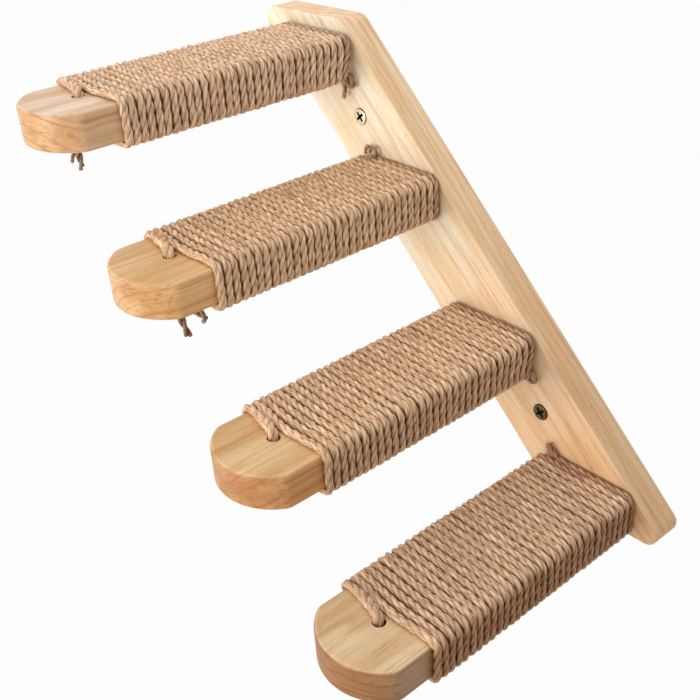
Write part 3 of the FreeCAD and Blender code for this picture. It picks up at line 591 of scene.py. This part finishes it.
def strand_mesh(name, centres, radii, outward, beside, along, inward, lift, upright, all_round_shade, shade, seed):
    """A strand of yarns round a line, with its place on the straightened strand kept for the fibres.

    outward and beside span each ring. The grooves get painted shade: inward points to the rope's middle,
    and lift is how high the strand lies in its turn, from -1 on the wood to 1; the shade is deeper where
    upright is
    1, beside the tread. Painted shade also darkens the strand all round, by the argument after upright, and
    shade paints it on the half that faces the board.
    """
    angle = np.linspace(0.0, 2 * np.pi, STRAND_SIDES, endpoint=False)
    spokes = spokes_at(angle, outward, beside)
    spun = angle[None, :] + 2 * np.pi * (along / YARN_LAY)[:, None] + seed
    reach = radii[:, None] * (1 + YARN_RELIEF * np.cos(YARNS * spun))
    mesh = tube_mesh(name, centres[:, None, :] + spokes * reach[:, :, None], centres[[0, -1]])

    apart = 37.0 * seed                         # so that no two strands have the same fibres
    straight = np.stack([np.cos(spun) * reach / MM, np.sin(spun) * reach / MM,
                         np.broadcast_to((along / MM)[:, None] + apart, spun.shape)], axis=-1)
    hubs = [[0.0, 0.0, along[0] / MM], [0.0, 0.0, along[-1] / MM]]
    laid = mesh.attributes.new("laid_straight", "FLOAT_VECTOR", "POINT")
    laid.data.foreach_set("vector", np.vstack([straight.reshape(-1, 3), hubs]).ravel())

    between_strands = smooth_step(np.einsum("ijk,ik->ij", spokes, inward), *STRAND_GROOVE_SPAN)
    between_strands *= STRAND_GROOVE + STRAND_GROOVE_BESIDE * upright[:, None]
    height = lift[:, None] + np.cos(angle)[None, :] * STRAND_RADIUS / (ROPE_WIDTH / 2)
    sunk = height - (TURN_RISE_BESIDE * upright + TURN_RISE_SHADED * all_round_shade)[:, None]
    darkness = TURN_GROOVE + TURN_GROOVE_BESIDE * upright + TURN_GROOVE_SHADED * all_round_shade
    between_turns = smooth_step(sunk, *TURN_GROOVE_SPAN) * darkness[:, None]
    between_yarns = YARN_GROOVE * (1 - np.cos(YARNS * spun))
    to_board = smooth_step(spokes[..., 1], *BOARD_SHADE_SPAN)
    by_board = shade[:, None] * (BOARD_SHADE_LEAST + (1 - BOARD_SHADE_LEAST) * to_board)
    # Painted shade: the strand darkens between strands, turns and yarns, all round where shaded, and
    # towards the board
    clean = (1 - between_strands) * (1 - between_turns) * (1 - between_yarns)
    depth = 1 - clean * (1 - all_round_shade[:, None]) * (1 - by_board)
    groove_shade = mesh.attributes.new("groove_shade", "FLOAT", "POINT")
    groove_shade.data.foreach_set("value", np.concatenate([depth.ravel(), [CUT_END_GROOVE] * 2]))
    return mesh


def carried_normals(tangent):
    """A normal carried along a line without twisting."""
    normal = np.cross(tangent[0], (0.3, 0.9, 0.2))      # any direction but the line's own will do
    normals = []
    for direction in tangent:
        normal = normal - direction * np.dot(normal, direction)
        normal = normal / np.linalg.norm(normal)
        normals.append(normal)
    return np.array(normals)


def lay_rope(name, places, yarn, replaced, seed, outward=None, flat=1.0, scale=1.0, strands=STRANDS,
             swell=None, side_shade=0.0, trim=0.0):
    """Strands laid round a line; flat squeezes the rope along its outward direction, swell fattens it
    along its length, and trim cuts the strands back unevenly at their last end. A rope with no outward
    direction hangs free, with no turns beside it."""
    centres, along = even_steps(places, ROPE_STEP)
    tangent = unit(np.gradient(centres, axis=0))
    if outward is None:
        normal = carried_normals(tangent)
    else:
        spots = np.linspace(0, along[-1], len(outward))
        normal = np.column_stack([np.interp(along, spots, outward[:, axis]) for axis in range(3)])
    normal = unit(normal - np.sum(normal * tangent, axis=1, keepdims=True) * tangent)
    beside = np.cross(tangent, normal)
    draw = np.random.default_rng(seed)
    marks = np.linspace(0, along[-1], max(3, round(along[-1] / SLACK_SPAN)))
    slack = np.interp(along, marks, draw.normal(scale=SLACK, size=len(marks)))
    fat = np.full(len(along), scale) if swell is None else scale * swell(along, along[-1])
    thin = fat < WORN_THIN
    phase = draw.uniform(0, 2 * np.pi)
    circle = STRAND_CIRCLE if strands == STRANDS else LOOSE_CIRCLE * (strands - 1)
    for strand in range(strands):
        uneven = 1 + STRAND_UNEVEN * np.interp(along, marks, draw.normal(size=len(marks)))
        twist = 2 * np.pi * (along / ROPE_LAY + strand / strands) + phase + slack
        away = np.cos(twist)[:, None] * normal * flat + np.sin(twist)[:, None] * beside
        lie = centres + away * (circle * fat)[:, None]
        end = len(along) - round(draw.uniform(0, trim) / ROPE_STEP)
        inward = -unit(away + 1e-9) if strands > 1 else np.zeros_like(away)
        if outward is None:
            lift, upright = np.ones(len(along)), np.ones(len(along))
            all_round_shade, shade = np.zeros(len(along)), np.zeros(len(along))
        else:
            free = thin | (along > along[-1] - LAST_TURN)
            lift = np.cos(twist) * STRAND_CIRCLE / (ROPE_WIDTH / 2) + np.where(free, FREE_LIFT, 0.0)
            upright = 1 - np.abs(normal[:, 2])
            # Painted shade all round the thin start, and on the sides
            all_round_shade = np.where(thin, STUB_SHADE, side_shade * upright)
            shade = np.where(along < FIRST_TURN, BOARD_SHADE, 0.0)
        rows = (lie, STRAND_RADIUS * fat * uneven, normal * flat, beside, along, inward, lift, upright,
                all_round_shade, shade)
        mesh = strand_mesh(f"{name}_strand_{strand + 1}", *[row[:end] for row in rows], draw.uniform(0, 6))
        add_piece(mesh.name, mesh, yarn, "jute_rope", replaced)


def winding_route(tread):
    """Control points of the rope's middle line, three at each corner of each turn."""
    low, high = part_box(f"tread_{tread}")
    middle = (low + high) / 2
    side = (high.x - low.x) / 2 + ROPE_STAND_OFF
    level = (high.z - low.z) / 2 + ROPE_STAND_OFF
    last = (high.y - low.y) - BARE_NOSE - ROPE_WIDTH / 2
    hole = (high.y - low.y) - BARE_NOSE + HOLE_OFFSET
    on_top = tread in START_ON_TOP
    pitch = (last - ROPE_START) / (ROPE_TURNS if on_top else ROPE_TURNS - 0.5)
    begin = last - ROPE_TURNS * pitch
    lean = pitch / 2 * EDGE_HOLD / (2 * side)
    draw = np.random.default_rng(40 + tread)
    route = []

    def at(across, outward, up):
        route.append((middle.x + across, high.y - outward, middle.z + up))

    def corner(across, out, up, arrives_level):
        """Three points round a corner; the level run leans outwards along the rope."""
        out = out + draw.normal(scale=TURN_UNEVEN)
        inner = across - math.copysign(EDGE_HOLD, across)
        held = up - math.copysign(EDGE_HOLD, up)
        points = [(inner, out - lean, up), (across, out, up), (across, out, held)]
        if not arrives_level:
            points = [(across, out, held), (across, out, up), (inner, out + lean, up)]
        for point in points:
            at(*point)

    for across, out, up in STUB_POINTS[tread]:
        at(across * MM, out * MM, up * MM)
    if on_top:
        at(-side + FIRST_REACH, ROPE_START, level)
    else:
        at(side - EDGE_HOLD, ROPE_START, -level)
    right_top, right_foot, left_foot, left_top = HUGS[on_top]
    for turn in range(ROPE_TURNS):
        out = begin + pitch * turn
        hug = pitch * math.exp(-turn / SETTLE_TURNS)
        pull = HOLE_PULL * math.exp((turn + 1 - ROPE_TURNS) / PULLED_TURNS)
        if pull > LEAST_PULL:
            at(0.0, out + pitch / 4 + pull, level)
        if on_top or turn > 0:
            corner(side, out + pitch / 2 - right_top * hug, level, True)
            corner(side, out + pitch / 2 - right_foot * hug, -level, False)
        corner(-side, out + pitch - left_foot * hug, -level, True)
        corner(-side, out + pitch - left_top * hug, level, False)
    across, out = NOSE_CROSSING
    at(across, last + out, level)
    across, out, up = HOLE_BRINK
    at(across, hole + out, level + up)
    at(0.0, hole, level - HOLE_DIP)
    at(0.0, hole, -level - HOLE_PASS)
    return np.array(route)


def worn_ends(tread):
    """How wide the rope is along its length: thin at its cut start, and opened out by the hole."""
    thin = STUB_WIDTH[tread]
    taper_from, taper_to = [STUB_LENGTH[tread] + taper for taper in STUB_TAPER]

    def width(along, length):
        stub = smooth_step(along / MM, taper_from, taper_to)
        opened = smooth_step((length - along) / MM, *OPENED_SPAN)
        return thin + (1 - thin) * stub + OPENED_WIDTH * opened
    return width


HAIR_RADIUS = 0.07 * MM                 # coarser than a real fibre, so that it shows
HAIR_TAPER = 0.7
FUZZ_HAIRS = 1100
FUZZ_LENGTHS = (1.5 * MM, 4.5 * MM)
FUZZ_SWING = 0.9                        # to both sides of the rope's crown, in radians
FUZZ_ROOT = 0.46                        # from the rope's middle, as a share of its thickness
FUZZ_STAND, FUZZ_STRAY = 0.45, 0.35     # how far a hair stands off and strays from the rope's run
FUZZ_CURL, FUZZ_LIE = 0.25, 0.125       # how far it curls, and lies down again, as shares of its length
FUZZ_CLEAR = (10, 30)                   # rings of mesh at the rope's start and end that have no fuzz
TO_NOSE = np.array([0.0, -1.0, 0.0])    # along a tread, away from the board


def dry_fibre(name, tones):
    """Loose jute fibre: dull straw hairs, paler where the light catches them."""
    spot = 8.0                                  # millimetres
    material, tree = new_material(name)
    place = add(tree, "ShaderNodeTexCoord")
    noise = add(tree, "ShaderNodeTexNoise", {"Vector": place.outputs["Object"], "Scale": 1 / (spot * MM)})
    first, second = [linear(tone) for tone in tones]
    tone = add(tree, "ShaderNodeMix", {"Factor": noise.outputs[0], 6: first, 7: second}, data_type="RGBA")
    surface = add(tree, "ShaderNodeBsdfPrincipled", {"Base Color": tone.outputs[2], "Roughness": 0.8,
                                                     "Specular IOR Level": 0.2})
    add(tree, "ShaderNodeOutputMaterial", {"Surface": surface.outputs[0]})
    return material


jute_fibre = dry_fibre("jute_fibre", ("#b8946c", "#e8d0ae"))
# Darker fibres for the cut ends: painted shade.
shaded_fibre = dry_fibre("jute_fibre_shaded", ("#6b4d2e", "#a07c54"))


def hairs(name, roots, leans, droops, fibre):
    """Loose fibres: each is a thin tapered tube from its root along its lean, curving with its droop."""
    share = np.array([0.0, 0.35, 0.7, 1.0])
    count, rings, sides = len(roots), len(share), 3
    line = (roots[:, None, :] + leans[:, None, :] * share[None, :, None]
            + droops[:, None, :] * (share ** 2)[None, :, None])
    tangent = unit(leans)
    normal = unit(np.cross(tangent, (0.31, 0.52, 0.79)))        # any direction but the hairs' own will do
    spokes = spokes_at(np.arange(sides) * 2 * np.pi / sides, normal, np.cross(tangent, normal))
    width = HAIR_RADIUS * (1 - HAIR_TAPER * share)
    vertices = line[:, :, None, :] + spokes[:, None, :, :] * width[None, :, None, None]
    faces = []
    for hair in range(count):
        base = hair * rings * sides
        top = base + (rings - 1) * sides
        for first in range(base, top, sides):
            for side in range(sides):
                beyond = (side + 1) % sides
                faces.append((first + side, first + beyond, first + sides + beyond, first + sides + side))
        faces.append((base + 2, base + 1, base))
        faces.append((top, top + 1, top + 2))
    mesh = bpy.data.meshes.new(name)
    mesh.from_pydata(vertices.reshape(-1, 3).tolist(), [], faces)
    add_piece(name, mesh, fibre, "jute_rope")


def fray(name, tip, run, draw, count, spread, lengths, depths, droop, scatter=0.0):
    """Fibres darkened by painted shade at a cut end, which lean out along its run; sizes in millimetres."""
    leans = unit(run + spread * draw.normal(size=(count, 3))) * draw.uniform(*lengths, (count, 1)) * MM
    roots = tip - run * draw.uniform(*depths, (count, 1)) * MM
    if scatter:
        roots = roots + draw.normal(scale=scatter * MM, size=(count, 3))
    hairs(name, roots, leans, droop * draw.normal(size=(count, 3)) * MM, shaded_fibre)


for tread in TREADS:
    places, _ = even_steps(read_route(winding_route(tread)), ROPE_STEP)
    tangent = unit(np.gradient(places, axis=0))
    outward = unit(np.cross(TO_NOSE, tangent))
    lay_rope(f"rope_{tread}", places, jute_ropes[tread], f"rope_winding_{tread}", seed=100 + tread,
             outward=outward, flat=ROPE_THICKNESS / ROPE_WIDTH, swell=worn_ends(tread),
             side_shade=SIDE_SHADE[tread])
    draw = np.random.default_rng(200 + tread)
    picks = draw.integers(FUZZ_CLEAR[0], len(places) - FUZZ_CLEAR[1], FUZZ_HAIRS)
    beside = np.cross(tangent[picks], outward[picks])
    swing = draw.uniform(-FUZZ_SWING, FUZZ_SWING, (FUZZ_HAIRS, 1))
    away = np.cos(swing) * outward[picks] + np.sin(swing) * beside
    roots = places[picks] + away * ROPE_THICKNESS * FUZZ_ROOT
    forward = tangent[picks] * draw.choice([-1.0, 1.0], (FUZZ_HAIRS, 1))
    length = draw.uniform(*FUZZ_LENGTHS, (FUZZ_HAIRS, 1))
    leans = unit(forward + FUZZ_STAND * away + FUZZ_STRAY * draw.normal(size=(FUZZ_HAIRS, 3))) * length
    droops = (FUZZ_CURL * draw.normal(size=(FUZZ_HAIRS, 3)) - FUZZ_LIE * away) * length
    hairs(f"rope_{tread}_fuzz", roots, leans, droops, jute_fibre)
    fray(f"rope_{tread}_stub_fray", places[0], -tangent[0], draw, count=40, spread=0.5,
         lengths=(1.5, 4.0), depths=(0.2, 3.0), droop=0.6, scatter=0.5)

# The rope knots
# Under each nose the rope is tied in an overhand knot that can't slip back through the hole, and its end is
# cut off short and left to come apart into two tails of one or two strands.
KNOT_UNIT = 1.75 * MM                   # the loops reach three of these from the knot's middle
KNOT_DEPTH = 1.25                       # up and down, in those units
KNOT_PLACE = np.array([0.0, -1.6, -5.6]) * MM          # from the middle of the hole, at the underside
KNOT_SCALE = 0.72                       # the knot is pulled tight, and its rope gets thinner
KNOT_POINTS = 24
TAIL_START = np.array([0.0, 0.0, -2.0]) * MM           # from the knot's middle
TAIL_TIPS = {                           # across, out and up from the hole's middle at the underside, in mm
    1: ((-23.0, 3.0, -25.5), (-17.5, -1.0, -28.5)),
    2: ((9.5, 1.0, -28.0), (23.5, -4.0, -13.0)),
    3: ((-12.0, -3.0, -28.0), (-20.0, 4.0, -17.0)),
    4: ((-9.0, -6.0, -27.0), (-19.0, 2.0, -20.0)),
}
TAIL_BENDS = (                          # how far along each axis the tail has gone at its two bends
    np.array([[0.6, 0.6, 0.25], [0.85, 0.85, 0.65]]),
    np.array([[0.9, 0.9, 0.2], [1.0, 1.0, 0.6]]),
)
TAIL_BOW = 0.8 * MM
TAIL_TRIM = 3.0 * MM
TAIL_STRANDS = {1: (1, 2), 2: (2, 2), 3: (1, 2), 4: (1, 2)}
TAIL_SCALE = {1: 0.72, 2: 0.85, 3: 0.72, 4: 0.72}
# The tails hang in the shade under the nose: their darker rope is painted shade.
shaded_jute = jute("jute_rope_shaded", ("#6e5a45", "#9a8168", "#c4ad92"))
for tread in TREADS:
    low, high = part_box(f"tread_{tread}")
    underside = np.array([(low.x + high.x) / 2, low.y + BARE_NOSE - HOLE_OFFSET, low.z])
    middle = underside + KNOT_PLACE
    turn = np.linspace(0.0, 2 * np.pi, KNOT_POINTS, endpoint=False)
    loop = np.column_stack([np.sin(turn) + 2 * np.sin(2 * turn), np.cos(turn) - 2 * np.cos(2 * turn),
                            -KNOT_DEPTH * np.sin(3 * turn)]) * KNOT_UNIT
    lay_rope(f"knot_{tread}", read_route(middle + loop, cyclic=True), jute_ropes[tread],
             f"rope_knot_{tread}", seed=300 + tread, scale=KNOT_SCALE)
    draw = np.random.default_rng(400 + tread)
    for tail, (across, out, up) in enumerate(TAIL_TIPS[tread]):
        tip = underside + np.array([across, -out, up]) * MM
        start = middle + TAIL_START
        bends = start + (tip - start) * TAIL_BENDS[tail] + draw.normal(scale=TAIL_BOW, size=(2, 3))
        route = np.vstack([start, bends, tip])
        name = f"tail_{tread}_{tail + 1}"
        lay_rope(name, read_route(route), shaded_jute, f"rope_knot_{tread}", seed=500 + 10 * tread + tail,
                 scale=TAIL_SCALE[tread], strands=TAIL_STRANDS[tread][tail], trim=TAIL_TRIM)
        fray(f"{name}_fray", tip, unit(route[-1] - route[-2]), draw, count=8, spread=0.45,
             lengths=(1.0, 2.5), depths=(0.5, 3.5), droop=0.3)

# The stage
# A plain pale floor well below the part, soft studio light from the front and above, and a camera that
# looks down on the treads from the front and the right.
FLOOR_DROP = 0.42                       # metres, as the other sizes of the stage
FLOOR_REACH = 6.0
PAPER_TONE = "#d4d3d1"
PAPER_GLOW = 0.95
ROOM_LIGHT, ROOM_SLOPE = 0.76, 0.42     # the room is brighter in front, above and to the left
WINDOW_SIDE = (-0.40, -0.62, 0.675)
CAMERA_AZIMUTH = math.radians(50.976)
CAMERA_ELEVATION = math.radians(30.499)
CAMERA_ROLL = math.radians(3.861)
CAMERA_PLACE = (456.18 * MM, -489.03 * MM, 314.02 * MM)
FOCAL_PIXELS = 1011.37                  # on a frame of 700 by 700
FRAME_PIXELS = 700
SENSOR_WIDTH = 36.0                     # millimetres


def soft_lamp(name, place, aim, size, power):
    """A round area lamp that faces its aim."""
    lamp = bpy.data.lights.new(name, "AREA")
    lamp.shape = "DISK"
    lamp.size = size
    lamp.energy = power
    holder = bpy.data.objects.new(name, lamp)
    bpy.context.scene.collection.objects.link(holder)
    holder.location = place
    holder.rotation_euler = (Vector(aim) - Vector(place)).to_track_quat("-Z", "Y").to_euler()


soft_lamp("key_light", place=(-0.35, -2.0, 0.10), aim=(0.0, -0.1, 0.0), size=0.8, power=16.0)
soft_lamp("top_light", place=(-0.2, 0.1, 1.6), aim=(0.0, -0.1, 0.0), size=1.4, power=4.0)

floor_mesh = bpy.data.meshes.new("floor")
floor_corners = [(x * FLOOR_REACH, y * FLOOR_REACH, 0) for x, y in ((-1, -1), (1, -1), (1, 1), (-1, 1))]
floor_mesh.from_pydata(floor_corners, [], [(0, 1, 2, 3)])
floor = bpy.data.objects.new("floor", floor_mesh)
floor.location.z = -FLOOR_DROP
bpy.context.scene.collection.objects.link(floor)


def seen_directly(tree):
    """1 for a ray that shows a surface to the eye, straight or by metal or glass; 0 for scattered light."""
    ray = add(tree, "ShaderNodeLightPath").outputs
    plain = add(tree, "ShaderNodeMath", {0: ray["Is Camera Ray"], 1: ray["Is Glossy Ray"]},
                operation="MAXIMUM")
    return add(tree, "ShaderNodeMath", {0: plain.outputs[0], 1: ray["Is Transmission Ray"]},
               operation="MAXIMUM").outputs[0]


# White paper, matt: it takes the part's shadow and is otherwise as bright as the room.
paper, tree = new_material("white_paper")
matt = add(tree, "ShaderNodeBsdfDiffuse", {"Color": linear(PAPER_TONE)})
glow = add(tree, "ShaderNodeEmission", {"Color": (1, 1, 1, 1), "Strength": 1.0})
glow_share = add(tree, "ShaderNodeMath", {0: seen_directly(tree), 1: PAPER_GLOW}, operation="MULTIPLY")
lifted = add(tree, "ShaderNodeMixShader", {"Fac": glow_share.outputs[0], 1: matt.outputs[0],
                                           2: glow.outputs[0]})
add(tree, "ShaderNodeOutputMaterial", {"Surface": lifted.outputs[0]})
floor_mesh.materials.append(paper)

world = bpy.data.worlds.new("studio")
bpy.context.scene.world = world
world.use_nodes = True
sky = world.node_tree
sky.nodes.clear()
toward = add(sky, "ShaderNodeTexCoord")
facing_window = add(sky, "ShaderNodeVectorMath", {0: toward.outputs["Generated"], 1: WINDOW_SIDE},
                    operation="DOT_PRODUCT")
brightness = add(sky, "ShaderNodeMath", {0: facing_window.outputs["Value"], 1: ROOM_SLOPE, 2: ROOM_LIGHT},
                 operation="MULTIPLY_ADD")
strength = add(sky, "ShaderNodeMix", {"Factor": seen_directly(sky), 2: brightness.outputs[0], 3: 1.0})
room = add(sky, "ShaderNodeBackground", {"Color": (1, 1, 1, 1), "Strength": strength.outputs[0]})
add(sky, "ShaderNodeOutputWorld", {"Surface": room.outputs[0]})

camera = bpy.data.cameras.new("camera")
camera.sensor_width = SENSOR_WIDTH
camera.lens = FOCAL_PIXELS / FRAME_PIXELS * SENSOR_WIDTH
camera.clip_start = 0.01
eye = bpy.data.objects.new("camera", camera)
bpy.context.scene.collection.objects.link(eye)
right = Vector((math.cos(CAMERA_AZIMUTH), math.sin(CAMERA_AZIMUTH), 0))
back = Vector((math.sin(CAMERA_AZIMUTH) * math.cos(CAMERA_ELEVATION),
               -math.cos(CAMERA_AZIMUTH) * math.cos(CAMERA_ELEVATION), math.sin(CAMERA_ELEVATION)))
over = back.cross(right)
turned = Matrix.Rotation(CAMERA_ROLL, 3, back)
axes = Matrix((right, over, back)).transposed()
eye.matrix_world = Matrix.Translation(CAMERA_PLACE) @ (turned.inverted() @ axes).to_4x4()
bpy.context.scene.camera = eye
bpy.context.scene.view_settings.view_transform = "Standard"
